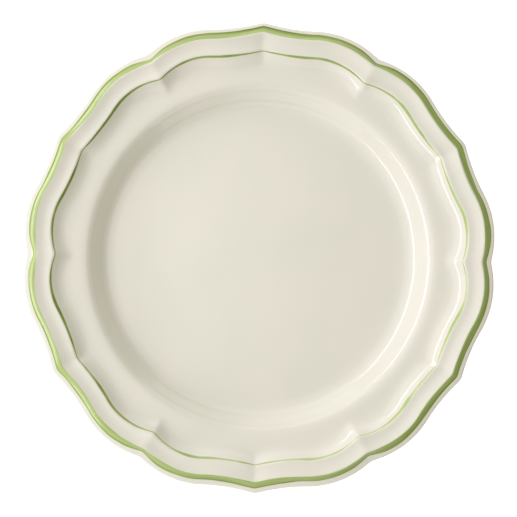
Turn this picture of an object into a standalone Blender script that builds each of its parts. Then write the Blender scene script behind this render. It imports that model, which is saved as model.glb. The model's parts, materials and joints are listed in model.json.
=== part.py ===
"""A scalloped china dinner plate with two painted green lines.

The plate is pressed clay under a thin coat of glaze. Two rings of green stained glaze run through the
coat: a broad band on the crest of the rim and a fine line on an inner step. They divide the ivory
glaze into zones. The foot ring is wiped bare, so the glaze inside it is a zone of its own.

Frame: +Z up along the plate's axis, origin at the middle of the foot ring's bearing plane. The rim has
six tips and six notches by turns, a tip towards +Y and a notch towards +X.

Every surface is one turned profile. It is turned round first and then pressed into the scalloped
outline, whose inner lines run parallel to its edge.
"""

import math

import bpy
import numpy

MM = 0.001

# Driving radii, measured from the axis towards the crown of a lobe.
PLATE_RADIUS = 132.5 * MM
LIP_RADIUS = 131.2 * MM
LINE_RADIUS = 117.0 * MM
WELL_EDGE_RADIUS = 102.5 * MM
WELL_FLOOR_RADIUS = 78.0 * MM
FOOT_OUTER_RADIUS = 83.8 * MM
FOOT_INNER_RADIUS = 78.0 * MM

# Driving heights above the table.
FLOOR_HEIGHT = 8.7 * MM
RECESS_HEIGHT = 2.2 * MM
RECESS_DOME = 1.6 * MM
GLAZE_LINE_HEIGHT = 1.2 * MM
FOOT_TOP_HEIGHT = 2.9 * MM

# Painted zones and the glaze coat.
LINE_WIDTH = 1.2 * MM
BAND_INNER_RADIUS = 126.0 * MM
BAND_OUTER_RADIUS = 129.7 * MM
GLAZE_THICKNESS = 0.3 * MM
GAP = 0.3 * MM

# The bare foot: the bearing face is flat between two small chamfers.
FOOT_CHAMFER = 0.5 * MM
FOOT_FLANK_LEAN = 0.6 * MM
RECESS_FILLET = 0.9 * MM

# Outline: in each half lobe a convex crown arc meets a concave flank arc, and the two are tangent.
# Angles run from the nearest tip (0) to the nearest notch (30 degrees).
LOBE_PERIOD = math.radians(60)
CROWN_ANGLE = math.radians(20.5)
CROWN_ARC_RADIUS = 51.5 * MM
CROWN_CENTRE_RADIUS = PLATE_RADIUS - CROWN_ARC_RADIUS
FLANK_ANGLE = math.radians(7.5)
FLANK_ARC_RADIUS = 109.0 * MM

# The well is round. The lobes grow in across this stretch of the rim.
LOBES_START_RADIUS = 99.0 * MM
LOBES_FULL_RADIUS = 113.0 * MM

# Gradient (rise over run) of the face and of the back at each radius. Between two radii the gradient
# changes evenly, so each stretch is a straight cone or a parabolic arc. The well's wall and the step
# under the fine line each have a straight cone in the middle, between two soft creases. The band covers
# a narrow bead, and outside it a nearly level lip runs out to the edge. The well's floor
# is domed by 1.7 mm, so that it stays clear of the table when the clay sags in the kiln.
FACE_GRADIENTS = (
    (0.0, 0.0),
    (18.0 * MM, 0.0),
    (46.0 * MM, -0.03),
    (74.0 * MM, -0.06),
    (WELL_FLOOR_RADIUS, 0.0),
    (80.5 * MM, 0.08),
    (85.0 * MM, 0.38),
    (86.8 * MM, 0.74),
    (89.0 * MM, 0.90),
    (89.3 * MM, 0.96),
    (93.6 * MM, 0.96),
    (96.0 * MM, 0.74),
    (97.4 * MM, 0.34),
    (100.0 * MM, 0.10),
    (WELL_EDGE_RADIUS, 0.03),
    (109.0 * MM, 0.20),
    (111.3 * MM, 0.46),
    (114.0 * MM, 0.84),
    (114.8 * MM, 0.95),
    (117.3 * MM, 0.93),
    (118.8 * MM, 0.0),
    (120.4 * MM, 0.03),
    (126.0 * MM, 0.50),
    (127.8 * MM, -0.60),
    (129.0 * MM, -0.70),
    (129.7 * MM, -0.15),
    (LIP_RADIUS, -0.15),
)
BACK_GRADIENTS = (
    (85.4 * MM, 0.70),
    (89.5 * MM, 0.95),
    (95.0 * MM, 0.95),
    (98.5 * MM, 0.30),
    (101.5 * MM, 0.10),
    (108.0 * MM, 0.10),
    (113.0 * MM, 0.50),
    (118.0 * MM, 0.86),
    (121.0 * MM, 0.16),
    (125.5 * MM, 0.40),
    (LIP_RADIUS, 0.0),
)
BACK_START_HEIGHT = 3.7 * MM

# Fineness of the facets.
TURNING_STEPS = 72
GRADIENT_PER_FACET = 0.4
LIP_ANGLES = (45, 0, -45)

BISCUIT = ("biscuit_clay", (0.80, 0.72, 0.60, 1.0), 0.85)
IVORY = ("ivory_glaze", (0.82, 0.78, 0.68, 1.0), 0.12)
GREEN = ("green_glaze", (0.38, 0.48, 0.16, 1.0), 0.15)


def gradient_at(radius, gradients):
    radii, values = zip(*gradients)
    return numpy.interp(radius, radii, values)


def height_along(radius, start_height, gradients):
    """Height at a radius, by adding up the gradient from the first radius of the schedule."""
    height = start_height
    for (r0, g0), (r1, _) in zip(gradients, gradients[1:]):
        end = min(radius, r1)
        if end > r0:
            height += (end - r0) * (g0 + gradient_at(end, gradients)) / 2
    return float(height)


def face_point(radius):
    return (radius, height_along(radius, FLOOR_HEIGHT, FACE_GRADIENTS))


def back_point(radius):
    return (radius, height_along(radius, BACK_START_HEIGHT, BACK_GRADIENTS))


def lip_point(angle):
    """A point on the half ellipse that joins the face, at 90 degrees, to the back, at -90 degrees."""
    top = face_point(LIP_RADIUS)[1]
    bottom = back_point(LIP_RADIUS)[1]
    reach = PLATE_RADIUS - LIP_RADIUS
    radius = LIP_RADIUS + reach * math.cos(angle)
    height = (top + bottom) / 2 + (top - bottom) / 2 * math.sin(angle)
    return (radius, height)


def stations(start, end, gradients):
    """Radii from start to end: the schedule's own, and more of them where the surface curves."""
    knots = [start] + [r for r, _ in gradients if start < r < end] + [end]
    radii = [start]
    for r0, r1 in zip(knots, knots[1:]):
        change = abs(gradient_at(r1, gradients) - gradient_at(r0, gradients))
        parts = max(1, math.ceil(change / GRADIENT_PER_FACET))
        radii += [r0 + (r1 - r0) * k / parts for k in range(1, parts + 1)]
    return radii


def face_points(start, end):
    return [face_point(r) for r in stations(start, end, FACE_GRADIENTS)]


def back_points():
    """The back from under the lip inwards to the foot ring, then down its outer flank."""
    radii = stations(BACK_GRADIENTS[0][0], LIP_RADIUS, BACK_GRADIENTS)
    flank = [
        (FOOT_OUTER_RADIUS + FOOT_FLANK_LEAN, FOOT_TOP_HEIGHT),
        (FOOT_OUTER_RADIUS, GLAZE_LINE_HEIGHT),
    ]
    return [back_point(r) for r in reversed(radii)] + flank


def recess_points():
    """The hollow inside the foot ring, from the ring's inner flank up the shallow dome to the axis."""
    return [
        (FOOT_INNER_RADIUS, GLAZE_LINE_HEIGHT),
        (FOOT_INNER_RADIUS - RECESS_FILLET / 3, RECESS_HEIGHT - RECESS_FILLET / 3),
        (FOOT_INNER_RADIUS - RECESS_FILLET, RECESS_HEIGHT),
        (FOOT_INNER_RADIUS / 2, RECESS_HEIGHT + RECESS_DOME * 3 / 4),
        (0.0, RECESS_HEIGHT + RECESS_DOME),
    ]


def inset(points, depth):
    """The profile moved by depth into the plate, which is on the right-hand side all the way from the
    axis over the rim and back. Points on the axis stay on it."""
    moved = []
    for i, (r, z) in enumerate(points):
        near = points[max(i - 1, 0):i + 2]
        normals = []
        for (r0, z0), (r1, z1) in zip(near, near[1:]):
            length = math.hypot(r1 - r0, z1 - z0)
            normals.append(((z1 - z0) / length, (r0 - r1) / length))
        nr = sum(n[0] for n in normals) / len(normals)
        nz = sum(n[1] for n in normals) / len(normals)
        mitre = depth / (nr * nr + nz * nz)
        moved.append((r + nr * mitre if r > 0.0 else 0.0, z + nz * mitre))
    return moved


def lobed_radius(angle, inset_from_edge):
    """Radius of the scalloped line that runs inset_from_edge inside the plate's edge, at this angle."""
    from_tip = abs(angle % LOBE_PERIOD - LOBE_PERIOD / 2)
    between = FLANK_ANGLE - CROWN_ANGLE
    across = CROWN_CENTRE_RADIUS * math.sin(between)
    along = CROWN_CENTRE_RADIUS * math.cos(between)
    arcs_apart = CROWN_ARC_RADIUS + FLANK_ARC_RADIUS
    flank_centre_radius = along + math.sqrt(arcs_apart**2 - across**2)

    crown_arc = CROWN_ARC_RADIUS - inset_from_edge
    crown_offset = CROWN_CENTRE_RADIUS * math.sin(from_tip - CROWN_ANGLE)
    flank_arc = FLANK_ARC_RADIUS + inset_from_edge
    flank_offset = flank_centre_radius * math.sin(from_tip - FLANK_ANGLE)

    # The arcs meet on the line between their centres.
    crown_x = CROWN_CENTRE_RADIUS * math.cos(CROWN_ANGLE)
    crown_y = CROWN_CENTRE_RADIUS * math.sin(CROWN_ANGLE)
    share = crown_arc / arcs_apart
    meet_x = crown_x + share * (flank_centre_radius * math.cos(FLANK_ANGLE) - crown_x)
    meet_y = crown_y + share * (flank_centre_radius * math.sin(FLANK_ANGLE) - crown_y)

    if from_tip > math.atan2(meet_y, meet_x):
        reach = math.sqrt(crown_arc**2 - crown_offset**2)
        return CROWN_CENTRE_RADIUS * math.cos(from_tip - CROWN_ANGLE) + reach
    reach = math.sqrt(flank_arc**2 - flank_offset**2)
    return flank_centre_radius * math.cos(from_tip - FLANK_ANGLE) - reach


def press_into_lobes(mesh):
    """Moves each vertex of a round turned mesh out or in, to the scalloped outline."""
    for vertex in mesh.vertices:
        radius = math.hypot(vertex.co.x, vertex.co.y)
        span = LOBES_FULL_RADIUS - LOBES_START_RADIUS
        share = min(max((radius - LOBES_START_RADIUS) / span, 0.0), 1.0)
        weight = share * share * (3 - 2 * share)
        if weight == 0.0:
            continue
        angle = math.atan2(vertex.co.y, vertex.co.x)
        lobed = lobed_radius(angle, PLATE_RADIUS - radius)
        pressed = radius + weight * (lobed - radius)
        vertex.co.x *= pressed / radius
        vertex.co.y *= pressed / radius


def material_named(name, colour, roughness):
    material = bpy.data.materials.get(name) or bpy.data.materials.new(name)
    material.use_nodes = True
    shader = material.node_tree.nodes["Principled BSDF"]
    shader.inputs["Base Color"].default_value = colour
    shader.inputs["Roughness"].default_value = roughness
    shader.inputs["Metallic"].default_value = 0.0
    material.diffuse_color = colour
    return material


def turn(name, profile, closed, material, collection):
    """Turns a profile about Z with a Screw modifier, then presses the result into the lobes."""
    edges = [(i, i + 1) for i in range(len(profile) - 1)]
    if closed:
        edges.append((len(profile) - 1, 0))
    outline = bpy.data.meshes.new(name + "_profile")
    outline.from_pydata([(r, 0.0, z) for r, z in profile], edges, [])
    turned = bpy.data.objects.new(name + "_turned", outline)
    collection.objects.link(turned)
    screw = turned.modifiers.new("Turn", "SCREW")
    screw.steps = TURNING_STEPS
    screw.render_steps = TURNING_STEPS
    screw.use_merge_vertices = True
    screw.merge_threshold = 0.00001

    bpy.context.view_layer.update()
    evaluated = turned.evaluated_get(bpy.context.evaluated_depsgraph_get())
    mesh = bpy.data.meshes.new_from_object(evaluated)
    mesh.name = name
    bpy.data.objects.remove(turned)
    bpy.data.meshes.remove(outline)

    press_into_lobes(mesh)
    mesh.shade_smooth()
    mesh.set_sharp_from_angle(angle=math.radians(40))
    mesh.materials.clear()
    mesh.materials.append(material_named(*material))
    plate_part = bpy.data.objects.new(name, mesh)
    collection.objects.link(plate_part)
    return plate_part


def make_glaze_zone(name, surface, material, collection):
    """One zone of the glaze coat, from its finished surface down by the thickness of the coat."""
    underside = inset(surface, GLAZE_THICKNESS)[::-1]
    if surface[-1][0] == 0.0:
        return turn(name, underside + surface, False, material, collection)
    return turn(name, surface + underside, surface[0][0] > 0.0, material, collection)


def make_clay_body(face, lip, back, recess, collection):
    """The clay under the coat, and the foot ring's bare bearing face."""
    depth = GLAZE_THICKNESS + GAP
    outer = FOOT_OUTER_RADIUS - depth
    inner = FOOT_INNER_RADIUS + depth
    foot = [
        (outer, FOOT_CHAMFER),
        (outer - FOOT_CHAMFER, 0.0),
        (inner + FOOT_CHAMFER, 0.0),
        (inner, FOOT_CHAMFER),
    ]
    profile = inset(face + lip + back, depth) + foot + inset(recess, depth)
    return turn("clay_body", profile, False, BISCUIT, collection)


def main():
    for old in list(bpy.data.objects):
        bpy.data.objects.remove(old)
    scene = bpy.context.scene
    scene.unit_settings.system = "METRIC"
    plate = bpy.data.collections.new("dinner_plate")
    scene.collection.children.link(plate)

    line_inner = LINE_RADIUS - LINE_WIDTH / 2
    line_outer = LINE_RADIUS + LINE_WIDTH / 2
    face = face_points(0.0, LIP_RADIUS)
    lip = [lip_point(math.radians(a)) for a in LIP_ANGLES]
    back = back_points()
    recess = recess_points()

    make_clay_body(face, lip, back, recess, plate)
    zones = (
        ("face_glaze", face_points(0.0, line_inner - GAP), IVORY),
        ("fine_line", face_points(line_inner, line_outer), GREEN),
        ("ledge_glaze", face_points(line_outer + GAP, BAND_INNER_RADIUS - GAP), IVORY),
        ("rim_band", face_points(BAND_INNER_RADIUS, BAND_OUTER_RADIUS), GREEN),
        ("back_glaze", face_points(BAND_OUTER_RADIUS + GAP, LIP_RADIUS) + lip + back, IVORY),
        ("foot_glaze", recess, IVORY),
    )
    for name, surface, material in zones:
        make_glaze_zone(name, surface, material, plate)


main()
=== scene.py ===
"""A scalloped china dinner plate, ivory with a hand-painted green band and a fine green line.

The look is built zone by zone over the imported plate. Each zone of the surface is drawn as a profile, spun
once round the axis, pressed into the scalloped outline and given the thickness of its coat. Zones meet
edge to edge, so together they are one unbroken glossy skin over the clay.
"""

import json
import math

import bpy
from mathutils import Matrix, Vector


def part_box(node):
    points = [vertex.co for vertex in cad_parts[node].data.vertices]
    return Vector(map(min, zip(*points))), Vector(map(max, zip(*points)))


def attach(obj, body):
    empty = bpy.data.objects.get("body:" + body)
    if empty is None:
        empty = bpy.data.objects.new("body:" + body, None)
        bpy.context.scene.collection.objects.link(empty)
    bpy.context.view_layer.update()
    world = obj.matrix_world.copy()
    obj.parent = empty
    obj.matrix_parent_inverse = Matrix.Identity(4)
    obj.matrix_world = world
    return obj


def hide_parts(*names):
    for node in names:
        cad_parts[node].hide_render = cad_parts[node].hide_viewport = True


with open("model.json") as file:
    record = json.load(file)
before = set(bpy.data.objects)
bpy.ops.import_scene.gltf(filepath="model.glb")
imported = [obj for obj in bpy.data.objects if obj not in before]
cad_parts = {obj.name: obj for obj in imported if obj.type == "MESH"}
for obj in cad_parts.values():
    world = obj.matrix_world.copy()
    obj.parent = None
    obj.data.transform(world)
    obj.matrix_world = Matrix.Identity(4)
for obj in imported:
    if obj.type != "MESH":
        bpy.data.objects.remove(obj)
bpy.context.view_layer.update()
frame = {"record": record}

MM = 0.001

# --- Sizes, in metres from the axis towards the crown of a lobe, as in the CAD ---------------------------

PLATE_RADIUS = 132.5 * MM
LIP_RADIUS = 131.2 * MM
LINE_RADIUS = 117.0 * MM
FLOOR_RADIUS = 78.0 * MM
FOOT_OUTER_RADIUS = 83.8 * MM
FOOT_INNER_RADIUS = 78.0 * MM

# Heights come from the frame.
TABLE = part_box("clay_body")[0][2]
FLOOR_HEIGHT = {m["name"]: m for m in frame["record"]["mounts"]}["well_floor"]["pos_m"][2]
CREST_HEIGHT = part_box("rim_band")[1][2]
GLAZE_END_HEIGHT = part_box("back_glaze")[0][2]
RECESS_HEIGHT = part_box("foot_glaze")[1][2] - 1.9 * MM

# Gradient (rise over run) of the finished face and back at each radius, changing evenly in between.
FACE_GRADIENTS = (
    (0.0, 0.0),
    (74.0 * MM, -0.045),
    (FLOOR_RADIUS, 0.0),
    (80.8 * MM, 0.06),
    (85.0 * MM, 0.38),
    (86.8 * MM, 0.74),
    (88.0 * MM, 0.86),
    (88.6 * MM, 1.08),
    (89.2 * MM, 1.08),
    (89.6 * MM, 0.94),
    (93.4 * MM, 0.94),
    (93.7 * MM, 1.08),
    (94.2 * MM, 1.08),
    (94.7 * MM, 0.84),
    (96.0 * MM, 0.72),
    (97.2 * MM, 0.40),
    (98.2 * MM, 0.24),
    (100.0 * MM, 0.10),
    (102.0 * MM, 0.03),
    (105.0 * MM, 0.04),
    (109.0 * MM, 0.20),
    (111.3 * MM, 0.46),
    (113.9 * MM, 0.82),
    (114.5 * MM, 0.88),
    (114.8 * MM, 0.95),
    (117.2 * MM, 0.95),
    (117.5 * MM, 0.80),
    (118.8 * MM, 0.0),
    (120.2 * MM, 0.03),
    (123.4 * MM, 0.34),
    (125.9 * MM, 0.50),
    (126.5 * MM, 0.40),
    (127.6 * MM, -0.48),
    (128.2 * MM, -0.70),
    (129.0 * MM, -0.74),
    (129.6 * MM, -0.16),
    (LIP_RADIUS, -0.16),
)
BACK_GRADIENTS = (
    (85.4 * MM, 0.70),
    (89.5 * MM, 0.95),
    (95.0 * MM, 0.95),
    (98.5 * MM, 0.30),
    (101.5 * MM, 0.10),
    (108.0 * MM, 0.10),
    (113.0 * MM, 0.50),
    (118.0 * MM, 0.86),
    (121.0 * MM, 0.16),
    (125.5 * MM, 0.40),
    (LIP_RADIUS, 0.0),
)
BACK_START_HEIGHT = TABLE + 3.7 * MM

# Zones: the painted ones are wider than the paint, which ends inside them.
LINE_ZONE = (LINE_RADIUS - 1.5 * MM, LINE_RADIUS + 1.5 * MM)
BAND_ZONE = (124.4 * MM, 130.7 * MM)
COAT = 0.3 * MM

# Outline: a convex crown arc and a concave flank arc in each half lobe, from a tip to a notch.
LOBE_PERIOD = math.radians(60)
CROWN_ANGLE = math.radians(20.5)
CROWN_ARC_RADIUS = 51.5 * MM
CROWN_CENTRE_RADIUS = PLATE_RADIUS - CROWN_ARC_RADIUS
FLANK_ANGLE = math.radians(7.5)
FLANK_ARC_RADIUS = 109.0 * MM
CORNER_SOFTNESS = math.radians(0.45)
LOBES_START_RADIUS = 99.0 * MM
LOBES_FULL_RADIUS = 113.0 * MM

# The mould's corners: a shallow valley runs out across the ledge to each tip, a ridge to each notch.
FOLD_DEPTH = 1.3 * MM
FOLD_REACH = math.radians(2.2)
FOLD_STARTS = 106.0 * MM
FOLD_FULL = 119.0 * MM
FOLD_ENDS = 131.0 * MM

TURNING_STEPS = 480
GRADIENT_PER_FACET = 0.04
LONGEST_FACET = 13 * MM
LIP_FACETS = 10
FOOT_CORNER_FACETS = 4
FOOT_CORNER_RADIUS = 0.8 * MM
DOUBLES = 0.005 * MM
SHARP_FROM = math.radians(40)


# --- The profile -----------------------------------------------------------------------------------------


def profile_along(start_height, gradients):
    """Points of a profile from the first radius to the last, closer together where it curves more."""
    points = [(gradients[0][0], start_height)]
    for (r0, g0), (r1, g1) in zip(gradients, gradients[1:]):
        parts = max(1, math.ceil(abs(g1 - g0) / GRADIENT_PER_FACET), math.ceil((r1 - r0) / LONGEST_FACET))
        run = (r1 - r0) / parts
        for k in range(parts):
            middle_gradient = g0 + (g1 - g0) * (k + 0.5) / parts
            radius, height = points[-1]
            points.append((radius + run, height + run * middle_gradient))
    return points


def between(points, start, end):
    """The part of a face profile from one radius to another, cut exactly at both."""

    def at(radius):
        for (r0, z0), (r1, z1) in zip(points, points[1:]):
            if r0 <= radius <= r1:
                return (radius, z0 + (z1 - z0) * (radius - r0) / (r1 - r0))
        return points[-1]

    return [at(start)] + [p for p in points if start + 1e-6 < p[0] < end - 1e-6] + [at(end)]


def lip_points(top, bottom):
    """Points on the half ellipse that joins the face to the back, round the lip's edge."""
    points = []
    for k in range(LIP_FACETS + 1):
        angle = math.pi / 2 - math.pi * k / LIP_FACETS
        reach = (PLATE_RADIUS - LIP_RADIUS) * math.cos(angle)
        points.append((LIP_RADIUS + reach, (top + bottom) / 2 + (top - bottom) / 2 * math.sin(angle)))
    return points


FACE = profile_along(FLOOR_HEIGHT, FACE_GRADIENTS)
BACK = profile_along(BACK_START_HEIGHT, BACK_GRADIENTS)


def offset(points, depth):
    """The profile moved by depth into the plate, which is on the right-hand side of its travel."""
    moved = []
    for i, (r, z) in enumerate(points):
        near = points[max(i - 1, 0):i + 2]
        normals = []
        for (r0, z0), (r1, z1) in zip(near, near[1:]):
            length = math.hypot(r1 - r0, z1 - z0)
            normals.append(((z1 - z0) / length, (r0 - r1) / length))
        nr = sum(n[0] for n in normals) / len(normals)
        nz = sum(n[1] for n in normals) / len(normals)
        mitre = depth / (nr * nr + nz * nz)
        moved.append((r + nr * mitre if r > 0.0 else 0.0, z + nz * mitre))
    return moved


# --- The scalloped outline -------------------------------------------------------------------------------


def angle_from_tip(angle):
    """0 at a tip, 30 degrees at a notch, turning softly at both as a glazed corner does."""
    plain = abs(angle % LOBE_PERIOD - LOBE_PERIOD / 2)
    from_tip = math.hypot(plain, CORNER_SOFTNESS)
    from_notch = math.hypot(LOBE_PERIOD / 2 - plain, CORNER_SOFTNESS)
    return from_tip if plain < LOBE_PERIOD / 4 else LOBE_PERIOD / 2 - from_notch


def lobed_radius(from_tip, inset):
    """Radius of the scalloped line that runs parallel to the edge, this far inside it."""
    between_centres = FLANK_ANGLE - CROWN_ANGLE
    arcs_apart = CROWN_ARC_RADIUS + FLANK_ARC_RADIUS
    across = CROWN_CENTRE_RADIUS * math.sin(between_centres)
    flank_centre = CROWN_CENTRE_RADIUS * math.cos(between_centres) + math.sqrt(arcs_apart**2 - across**2)
    share = (CROWN_ARC_RADIUS - inset) / arcs_apart
    crown_at = Vector((math.cos(CROWN_ANGLE), math.sin(CROWN_ANGLE))) * CROWN_CENTRE_RADIUS
    flank_at = Vector((math.cos(FLANK_ANGLE), math.sin(FLANK_ANGLE))) * flank_centre
    meet = crown_at.lerp(flank_at, share)
    if from_tip > math.atan2(meet.y, meet.x):
        turn = from_tip - CROWN_ANGLE
        reach = math.sqrt((CROWN_ARC_RADIUS - inset) ** 2 - (CROWN_CENTRE_RADIUS * math.sin(turn)) ** 2)
        return CROWN_CENTRE_RADIUS * math.cos(turn) + reach
    turn = from_tip - FLANK_ANGLE
    reach = math.sqrt((FLANK_ARC_RADIUS + inset) ** 2 - (flank_centre * math.sin(turn)) ** 2)
    return flank_centre * math.cos(turn) - reach


def fold(radius, from_tip):
    """Height added by the valley at a tip or the ridge at a notch, both fading away from the corner."""
    if radius < FOLD_FULL:
        weight = max(radius - FOLD_STARTS, 0.0) / (FOLD_FULL - FOLD_STARTS)
    else:
        weight = max(FOLD_ENDS - radius, 0.0) / (FOLD_ENDS - FOLD_FULL)
    weight = weight * weight * (3 - 2 * weight)
    valley = math.exp(-from_tip / FOLD_REACH)
    ridge = math.exp((from_tip - LOBE_PERIOD / 2) / FOLD_REACH)
    return FOLD_DEPTH * weight * (ridge - valley)


def press_into_lobes(piece):
    """Moves the points of a round piece to the scalloped outline, and notes on each how far inside the
    plate's edge it lies (in mm), how far along its brush stroke, 0 at a tip or notch and 1 midway, and how
    near it is to a notch, 0 at a tip and 1 at a notch."""
    mesh = piece.data
    inside_edge = mesh.attributes.new("inside_edge_mm", "FLOAT", "POINT")
    stroke = mesh.attributes.new("stroke", "FLOAT", "POINT")
    near_notch = mesh.attributes.new("near_notch", "FLOAT", "POINT")
    span = LOBES_FULL_RADIUS - LOBES_START_RADIUS
    for vertex in mesh.vertices:
        radius = math.hypot(vertex.co.x, vertex.co.y)
        from_tip = angle_from_tip(math.atan2(vertex.co.y, vertex.co.x))
        inside_edge.data[vertex.index].value = (PLATE_RADIUS - radius) / MM
        stroke.data[vertex.index].value = math.sin(math.pi * from_tip / (LOBE_PERIOD / 2))
        near_notch.data[vertex.index].value = from_tip / (LOBE_PERIOD / 2)
        share = min(max((radius - LOBES_START_RADIUS) / span, 0.0), 1.0)
        weight = share * share * (3 - 2 * share)
        if weight > 0.0:
            pressed = radius + weight * (lobed_radius(from_tip, PLATE_RADIUS - radius) - radius)
            vertex.co.x *= pressed / radius
            vertex.co.y *= pressed / radius
            vertex.co.z += fold(radius, from_tip)


# --- Modelling -------------------------------------------------------------------------------------------


def spun(name, profile):
    """A single point is drawn out along the profile, and the line is spun once round the axis."""
    bpy.ops.object.select_all(action="DESELECT")
    bpy.ops.mesh.primitive_plane_add(size=1 * MM, location=(0, 0, 0))
    piece = bpy.context.object
    piece.name = name
    bpy.ops.object.mode_set(mode="EDIT")
    bpy.ops.mesh.select_mode(type="VERT")
    bpy.ops.mesh.select_all(action="SELECT")
    bpy.ops.mesh.merge(type="CENTER")
    bpy.ops.transform.translate(value=(profile[0][0], 0, profile[0][1]))
    for (r0, z0), (r1, z1) in zip(profile, profile[1:]):
        bpy.ops.mesh.extrude_region_move(TRANSFORM_OT_translate={"value": (r1 - r0, 0, z1 - z0)})
    bpy.ops.mesh.select_all(action="SELECT")
    bpy.ops.mesh.spin(steps=TURNING_STEPS, angle=2 * math.pi, center=(0, 0, 0), axis=(0, 0, 1))
    bpy.ops.mesh.select_all(action="SELECT")
    bpy.ops.mesh.remove_doubles(threshold=DOUBLES)
    bpy.ops.mesh.normals_make_consistent(inside=False)
    bpy.ops.object.mode_set(mode="OBJECT")
    return piece


def face_outwards(piece, profile):
    """Turns the faces over if they look into the plate, which is on the right of the profile's travel."""
    (r0, z0), (r1, z1) = profile[-2], profile[-1]
    outwards = Vector((z0 - z1, 0, r1 - r0))
    middle = Vector(((r0 + r1) / 2, 0, (z0 + z1) / 2))
    nearest = min(piece.data.polygons, key=lambda face: (face.center - middle).length)
    if nearest.normal.dot(outwards) < 0:
        bpy.ops.object.mode_set(mode="EDIT")
        bpy.ops.mesh.select_all(action="SELECT")
        bpy.ops.mesh.flip_normals()
        bpy.ops.object.mode_set(mode="OBJECT")


def coat_zone(name, profile):
    """One zone of the skin: the spun strip, pressed into the lobes and as thick as the coat."""
    piece = spun(name, profile)
    face_outwards(piece, profile)
    press_into_lobes(piece)
    thicken = piece.modifiers.new("Coat", "SOLIDIFY")
    thicken.thickness = COAT
    thicken.offset = -1
    thicken.use_even_offset = True
    bpy.ops.object.modifier_apply(modifier=thicken.name)
    bpy.ops.object.shade_smooth_by_angle(angle=SHARP_FROM)
    return piece


def clay_under_coat(name, face, lip, back, recess):
    """The clay under the whole skin, and the bare foot between the skin's two lower edges."""
    outer = FOOT_OUTER_RADIUS - COAT
    inner = FOOT_INNER_RADIUS + COAT
    corner = FOOT_CORNER_RADIUS
    turns = [math.radians(90) * k / FOOT_CORNER_FACETS for k in range(FOOT_CORNER_FACETS + 1)]
    foot = [(outer - corner + corner * math.cos(t), TABLE + corner - corner * math.sin(t)) for t in turns]
    foot += [(inner + corner - corner * math.sin(t), TABLE + corner - corner * math.cos(t)) for t in turns]
    # No one sees the clay's face, so every third point of it is enough.
    coarse_face = face[:1] + face[1:-1:3] + face[-1:]
    piece = spun(name, offset(coarse_face + lip[1:] + back[1:], COAT) + foot + offset(recess, COAT))
    press_into_lobes(piece)
    bpy.ops.object.shade_smooth_by_angle(angle=SHARP_FROM)
    return piece


# --- Materials -------------------------------------------------------------------------------------------


def colour(hex_code):
    """An sRGB hex colour as linear RGBA."""
    channels = [int(hex_code[i:i + 2], 16) / 255 for i in (1, 3, 5)]
    return tuple(c / 12.92 if c <= 0.04045 else ((c + 0.055) / 1.055) ** 2.4 for c in channels) + (1.0,)


def add(material, kind, inputs=None, stops=(), out=0, **settings):
    """Adds a node and returns one of its outputs. An input takes a value, or another node's output, and is
    given by its name or number. On Map Range 0 is the value, 1 and 2 are the range it comes from, and 3
    and 4 the range it goes to."""
    tree = material.node_tree
    node = tree.nodes.new(kind)
    for name, value in settings.items():
        setattr(node, name, value)
    for key, value in (inputs or {}).items():
        if isinstance(value, bpy.types.NodeSocket):
            tree.links.new(value, node.inputs[key])
        else:
            node.inputs[key].default_value = value
    if stops:
        elements = node.color_ramp.elements
        while len(elements) < len(stops):
            elements.new(0.5)
        for element, (position, hex_code) in zip(elements, stops):
            element.position = position
            element.color = colour(hex_code)
    return node.outputs[out]


def new_material(name):
    material = bpy.data.materials.new(name)
    material.use_nodes = True
    return material, material.node_tree.nodes["Principled BSDF"]


def ivory_colour(material, place):
    """Opaque ivory glaze over buff clay: even and warm, with a faint cloudiness about 40 mm across."""
    cloud = add(material, "ShaderNodeTexNoise", {"Vector": place, "Scale": 1 / (40 * MM), "Detail": 2.0})
    return add(material, "ShaderNodeValToRGB", {0: cloud}, stops=((0.3, "#E6E2D1"), (0.7, "#EBE4D4")))


def fired_gloss(material, shader, place):
    """A fired glaze is glassy, with a slow ripple about 9 mm long left from dipping."""
    ripple = add(material, "ShaderNodeTexNoise", {"Vector": place, "Scale": 1 / (9 * MM), "Detail": 1.0})
    bump = add(material, "ShaderNodeBump", {"Height": ripple, "Strength": 0.25, "Distance": 0.03 * MM})
    material.node_tree.links.new(bump, shader.inputs["Normal"])
    shader.inputs["IOR"].default_value = 1.5
    shader.inputs["Roughness"].default_value = 0.07


def stained_colour(material, place, ivory, depth):
    """Copper green stain seen through the glaze: the deeper it lies, the darker and more olive."""
    green = add(
        material,
        "ShaderNodeValToRGB",
        {0: depth},
        stops=((0.0, "#DCE1AE"), (0.45, "#B4C47C"), (0.75, "#8F9D51"), (1.0, "#69742D")),
    )
    shown = add(material, "ShaderNodeMapRange", {0: depth, 1: 0.0, 2: 0.3})
    return add(material, "ShaderNodeMix", {0: shown, 6: ivory, 7: green}, out=2, data_type="RGBA")


def make_ivory_glaze():
    material, shader = new_material("ivory_earthenware_glaze")
    place = add(material, "ShaderNodeTexCoord", out="Object")
    material.node_tree.links.new(ivory_colour(material, place), shader.inputs["Base Color"])
    fired_gloss(material, shader, place)
    return material


def rim_direction(material, place):
    """A vector that depends only on the direction from the axis, so noise on it runs along the rim."""
    flat = add(material, "ShaderNodeVectorMath", {0: place, 1: (1.0, 1.0, 0.0)}, operation="MULTIPLY")
    return add(material, "ShaderNodeVectorMath", {0: flat}, operation="NORMALIZE")


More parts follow.
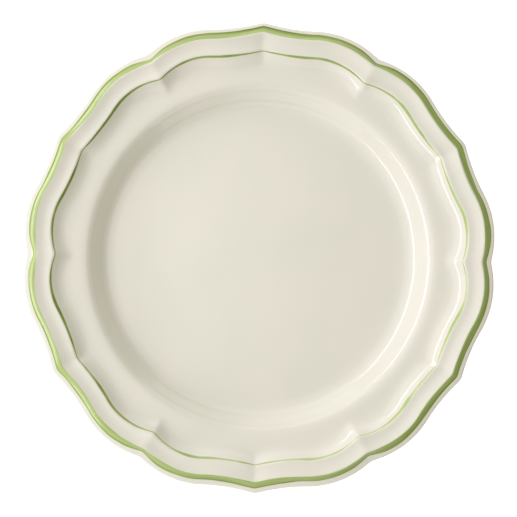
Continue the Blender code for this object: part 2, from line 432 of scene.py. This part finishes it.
def make_painted_band():
    """A broad brushed band. The stain is streaky along the stroke, thinner at the inner edge, and has run
    outwards and pooled dark along the outer edge; that dark edge is also painted shade of the bead's outer
    slope."""
    material, shader = new_material("green_stain_broad_brush")
    place = add(material, "ShaderNodeTexCoord", out="Object")
    inside_edge = add(material, "ShaderNodeAttribute", out="Fac", attribute_name="inside_edge_mm")
    along = rim_direction(material, place)

    # The band sits nearer the edge at the upper right than at the lower left, and the hand wanders by a
    # quarter of a millimetre over a few centimetres. The brush narrows where it turns into a notch.
    leaning = {0: place, 1: (-2.5, -2.5, 0.0)}
    drift = add(material, "ShaderNodeVectorMath", leaning, out=1, operation="DOT_PRODUCT")
    wander = add(material, "ShaderNodeTexNoise", {"Vector": place, "Scale": 1 / (45 * MM), "Detail": 1.0})
    wander = add(material, "ShaderNodeMapRange", {0: wander, 1: 0.25, 2: 0.75, 3: 3.85, 4: 4.35})
    centre = add(material, "ShaderNodeMath", {0: wander, 1: drift})
    unsteady = {"Vector": place, "Scale": 1 / (26 * MM), "Detail": 1.0, "Distortion": 0.4}
    press = add(material, "ShaderNodeTexNoise", unsteady)
    half_width = add(material, "ShaderNodeMapRange", {0: press, 1: 0.25, 2: 0.75, 3: 1.2, 4: 1.9})
    near_notch = add(material, "ShaderNodeAttribute", out="Fac", attribute_name="near_notch")
    squeeze = add(material, "ShaderNodeMapRange", {0: near_notch, 1: 0.85, 2: 1.0, 3: 1.0, 4: 0.62})
    half_width = add(material, "ShaderNodeMath", {0: half_width, 1: squeeze}, operation="MULTIPLY")
    off_centre = add(material, "ShaderNodeMath", {0: inside_edge, 1: centre}, operation="SUBTRACT")
    across = add(material, "ShaderNodeMath", {0: off_centre, 1: half_width}, operation="DIVIDE")

    # Bristle streaks: about 30 mm long and 0.5 mm wide.
    stretched = add(material, "ShaderNodeVectorMath", {0: along, 3: 4.5}, operation="SCALE")
    lane = add(material, "ShaderNodeMath", {0: inside_edge, 1: 2.0}, operation="MULTIPLY")
    lanes = add(material, "ShaderNodeCombineXYZ", {2: lane})
    streak_place = add(material, "ShaderNodeVectorMath", {0: stretched, 1: lanes}, operation="ADD")
    streak = add(material, "ShaderNodeTexNoise", {"Vector": streak_place, "Scale": 1.0, "Detail": 3.0})

    # Depth of stain across the band, from its outer edge to its inner one. The deep outer edge is partly
    # pooled stain and partly painted shade of the bead's outer slope.
    body = add(
        material,
        "ShaderNodeValToRGB",
        {0: add(material, "ShaderNodeMapRange", {0: across, 1: -1.2, 2: 1.2})},
        stops=(
            (0.0, "#000000"),
            (0.09, "#F4F4F4"),
            (0.22, "#DCDCDC"),
            (0.45, "#CFCFCF"),
            (0.86, "#BEBEBE"),
            (0.93, "#000000"),
        ),
    )
    depth = add(material, "ShaderNodeMapRange", {0: streak, 1: 0.3, 2: 0.7, 3: 0.82, 4: 1.18})
    depth = add(material, "ShaderNodeMath", {0: body, 1: depth}, operation="MULTIPLY")

    # The paint is made paler on the left, where the light comes from: partly a drier brush, partly a
    # painted highlight on the band.
    rightwards = {0: place, 1: (1.0, 0.0, 0.0)}
    side = add(material, "ShaderNodeVectorMath", rightwards, out=1, operation="DOT_PRODUCT")
    load = add(material, "ShaderNodeMapRange", {0: side, 1: -120 * MM, 2: -20 * MM, 3: 0.8, 4: 1.0})
    depth = add(material, "ShaderNodeMath", {0: depth, 1: load}, operation="MULTIPLY")
    ivory = ivory_colour(material, place)
    material.node_tree.links.new(stained_colour(material, place, ivory, depth), shader.inputs["Base Color"])
    fired_gloss(material, shader, place)
    return material


def make_painted_line():
    """A line drawn with a fine brush in strokes from tip to notch: thin at both ends, fuller midway."""
    material, shader = new_material("green_stain_fine_brush")
    place = add(material, "ShaderNodeTexCoord", out="Object")
    inside_edge = add(material, "ShaderNodeAttribute", out="Fac", attribute_name="inside_edge_mm")
    stroke = add(material, "ShaderNodeAttribute", out="Fac", attribute_name="stroke")
    wander = add(material, "ShaderNodeTexNoise", {"Vector": place, "Scale": 1 / (30 * MM), "Detail": 1.0})
    centre = add(material, "ShaderNodeMapRange", {0: wander, 1: 0.25, 2: 0.75, 3: 15.0, 4: 15.5})
    press = add(material, "ShaderNodeTexNoise", {"Vector": place, "Scale": 1 / (17 * MM), "Detail": 2.0})
    full = add(material, "ShaderNodeMapRange", {0: press, 1: 0.25, 2: 0.75, 3: 0.28, 4: 0.62})
    half_width = add(material, "ShaderNodeMath", {0: stroke, 1: full, 2: 0.22}, operation="MULTIPLY_ADD")
    off_centre = add(material, "ShaderNodeMath", {0: inside_edge, 1: centre}, operation="SUBTRACT")
    off_centre = add(material, "ShaderNodeMath", {0: off_centre}, operation="ABSOLUTE")
    beyond = add(material, "ShaderNodeMath", {0: off_centre, 1: half_width}, operation="SUBTRACT")
    mask = add(material, "ShaderNodeMapRange", {0: beyond, 1: 0.15, 2: -0.15})

    # The stain is made deeper at the upper left and thinner at the lower right: partly the stroke's own
    # load, partly painted shade where the line's slope turns from the light and painted highlight where it
    # faces it.
    deeper_to_upper_left = {0: place, 1: (-1.7, 1.2, 0.0)}
    load = add(material, "ShaderNodeVectorMath", deeper_to_upper_left, out=1, operation="DOT_PRODUCT")
    depth = add(material, "ShaderNodeMapRange", {0: press, 1: 0.3, 2: 0.7, 3: 0.45, 4: 0.72})
    depth = add(material, "ShaderNodeMath", {0: depth, 1: load})
    depth = add(material, "ShaderNodeMath", {0: mask, 1: depth}, operation="MULTIPLY")
    ivory = ivory_colour(material, place)
    material.node_tree.links.new(stained_colour(material, place, ivory, depth), shader.inputs["Base Color"])
    fired_gloss(material, shader, place)
    return material


def make_biscuit():
    """Bare fired clay: buff, matt and finely gritty, where the glaze was wiped off the foot."""
    material, shader = new_material("bare_fired_clay")
    place = add(material, "ShaderNodeTexCoord", out="Object")
    grain = add(material, "ShaderNodeTexNoise", {"Vector": place, "Scale": 1 / (1.2 * MM), "Detail": 4.0})
    tint = add(material, "ShaderNodeValToRGB", {0: grain}, stops=((0.35, "#C9B796"), (0.7, "#E0D2B6")))
    bump = add(material, "ShaderNodeBump", {"Height": grain, "Strength": 0.6, "Distance": 0.08 * MM})
    material.node_tree.links.new(tint, shader.inputs["Base Color"])
    material.node_tree.links.new(bump, shader.inputs["Normal"])
    shader.inputs["Roughness"].default_value = 0.9
    return material


# --- The plate -------------------------------------------------------------------------------------------


def lay(piece, node, material):
    """The piece rides on the plate, its CAD node is hidden, and it wears its material."""
    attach(piece, "root")
    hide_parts(node)
    piece.data.materials.clear()
    piece.data.materials.append(material)


lip = lip_points(FACE[-1][1], BACK[-1][1])
flank = [
    (FOOT_OUTER_RADIUS + 1.1 * MM, TABLE + 3.45 * MM),
    (FOOT_OUTER_RADIUS + 0.6 * MM, TABLE + 2.9 * MM),
    (FOOT_OUTER_RADIUS + 0.2 * MM, TABLE + 2.1 * MM),
    (FOOT_OUTER_RADIUS, GLAZE_END_HEIGHT),
]
back = BACK[::-1] + flank
recess = [
    (FOOT_INNER_RADIUS, GLAZE_END_HEIGHT),
    (FOOT_INNER_RADIUS - 0.3 * MM, RECESS_HEIGHT - 0.3 * MM),
    (FOOT_INNER_RADIUS - 0.9 * MM, RECESS_HEIGHT),
    (60.0 * MM, RECESS_HEIGHT + 0.7 * MM),
    (40.0 * MM, RECESS_HEIGHT + 1.2 * MM),
    (20.0 * MM, RECESS_HEIGHT + 1.5 * MM),
    (0.0, RECESS_HEIGHT + 1.6 * MM),
]

ivory = make_ivory_glaze()
broad_green = make_painted_band()
fine_green = make_painted_line()
biscuit = make_biscuit()

back_zone = between(FACE, BAND_ZONE[1], LIP_RADIUS) + lip[1:] + back[1:]
zones = (
    ("glaze_over_face", between(FACE, 0.0, LINE_ZONE[0]), "face_glaze", "ivory_glaze", ivory),
    ("painted_fine_line", between(FACE, *LINE_ZONE), "fine_line", "green_glaze", fine_green),
    ("glaze_over_ledge", between(FACE, LINE_ZONE[1], BAND_ZONE[0]), "ledge_glaze", "ivory_glaze", ivory),
    ("painted_rim_band", between(FACE, *BAND_ZONE), "rim_band", "green_glaze", broad_green),
    ("glaze_over_back", back_zone, "back_glaze", "ivory_glaze", ivory),
    ("glaze_in_foot", recess, "foot_glaze", "ivory_glaze", ivory),
)
for name, profile, node, slot, material in zones:
    lay(coat_zone(name, profile), node, material)
lay(clay_under_coat("clay_and_foot", FACE, lip, back, recess), "clay_body", biscuit)


# --- Floor, light and camera -----------------------------------------------------------------------------


def aim(thing, place, target):
    thing.location = place
    thing.rotation_euler = (Vector(target) - Vector(place)).to_track_quat("-Z", "Y").to_euler()


bpy.ops.object.select_all(action="DESELECT")
bpy.ops.mesh.primitive_circle_add(vertices=96, radius=6.0, fill_type="NGON", location=(0, 0, TABLE))
floor = bpy.context.object
floor.name = "pale_floor"
paper, paper_shader = new_material("white_paper_sweep")
paper_shader.inputs["Base Color"].default_value = colour("#F7F7F5")
paper_shader.inputs["Roughness"].default_value = 0.9
# The paper is lit from behind as well, so that it stays white right up to the plate.
paper_shader.inputs["Emission Color"].default_value = (1, 1, 1, 1)
paper_shader.inputs["Emission Strength"].default_value = 0.62
floor.data.materials.append(paper)

world = bpy.data.worlds.new("studio_fill")
world.use_nodes = True
world.node_tree.nodes["Background"].inputs["Color"].default_value = (1.0, 1.0, 0.75, 1)
world.node_tree.nodes["Background"].inputs["Strength"].default_value = 0.27
bpy.context.scene.world = world


def softbox(name, width, height, place, target, watts, tint, gloss=True):
    """A panel of light, which may be flagged out of the gloss."""
    lamp = bpy.data.lights.new(name, "AREA")
    lamp.shape = "RECTANGLE"
    lamp.size = width
    lamp.size_y = height
    lamp.energy = watts
    lamp.color = tint
    box = bpy.data.objects.new(name, lamp)
    bpy.context.collection.objects.link(box)
    box.visible_glossy = gloss
    aim(box, place, target)


# The key lights the body of the plate and is kept out of its gloss. The low panel is narrow, so the gloss
# shows it as a thin strip on the walls across from it and on the bead beside it.
COOL = (0.87, 0.88, 1.0)
COLD = (0.83, 0.86, 1.0)
PALE = (0.92, 0.93, 1.0)
softbox("key_softbox", 1.5, 0.44, (-0.565, 0.100, 0.82), (0, 0, 0.02), 10.0, COOL, gloss=False)
softbox("low_softbox", 2.1, 0.12, (-0.88, 0.0, 0.28), (0, 0, 0.28), 4.3, COLD)
softbox("upper_card", 1.5, 0.5, (0.0, 0.9, 0.32), (0, 0, 0.05), 2.3, PALE)
softbox("lower_card", 1.5, 0.5, (0.0, -0.9, 0.32), (0, 0, 0.05), 2.1, PALE)

LENS_DISTANCE = 2.2
FRAME_WIDTH = 288.7 * MM
SENSOR_WIDTH = 36.0
TILT = math.radians(1.0)
ROLL = math.radians(1.1)
SHIFT = 0.0015

camera_data = bpy.data.cameras.new("camera")
camera = bpy.data.objects.new("camera", camera_data)
bpy.context.collection.objects.link(camera)
camera_data.sensor_width = SENSOR_WIDTH
camera_data.lens = SENSOR_WIDTH * (LENS_DISTANCE - CREST_HEIGHT) / FRAME_WIDTH
camera_data.shift_x = SHIFT
camera_data.shift_y = -SHIFT
look_at = Vector((0.0, 0.0, CREST_HEIGHT))
camera.location = look_at + Vector((0, -math.sin(TILT), math.cos(TILT))) * (LENS_DISTANCE - CREST_HEIGHT)
camera.rotation_euler = (TILT, 0.0, ROLL)
bpy.context.scene.camera = camera

bpy.context.scene.view_settings.view_transform = "Standard"
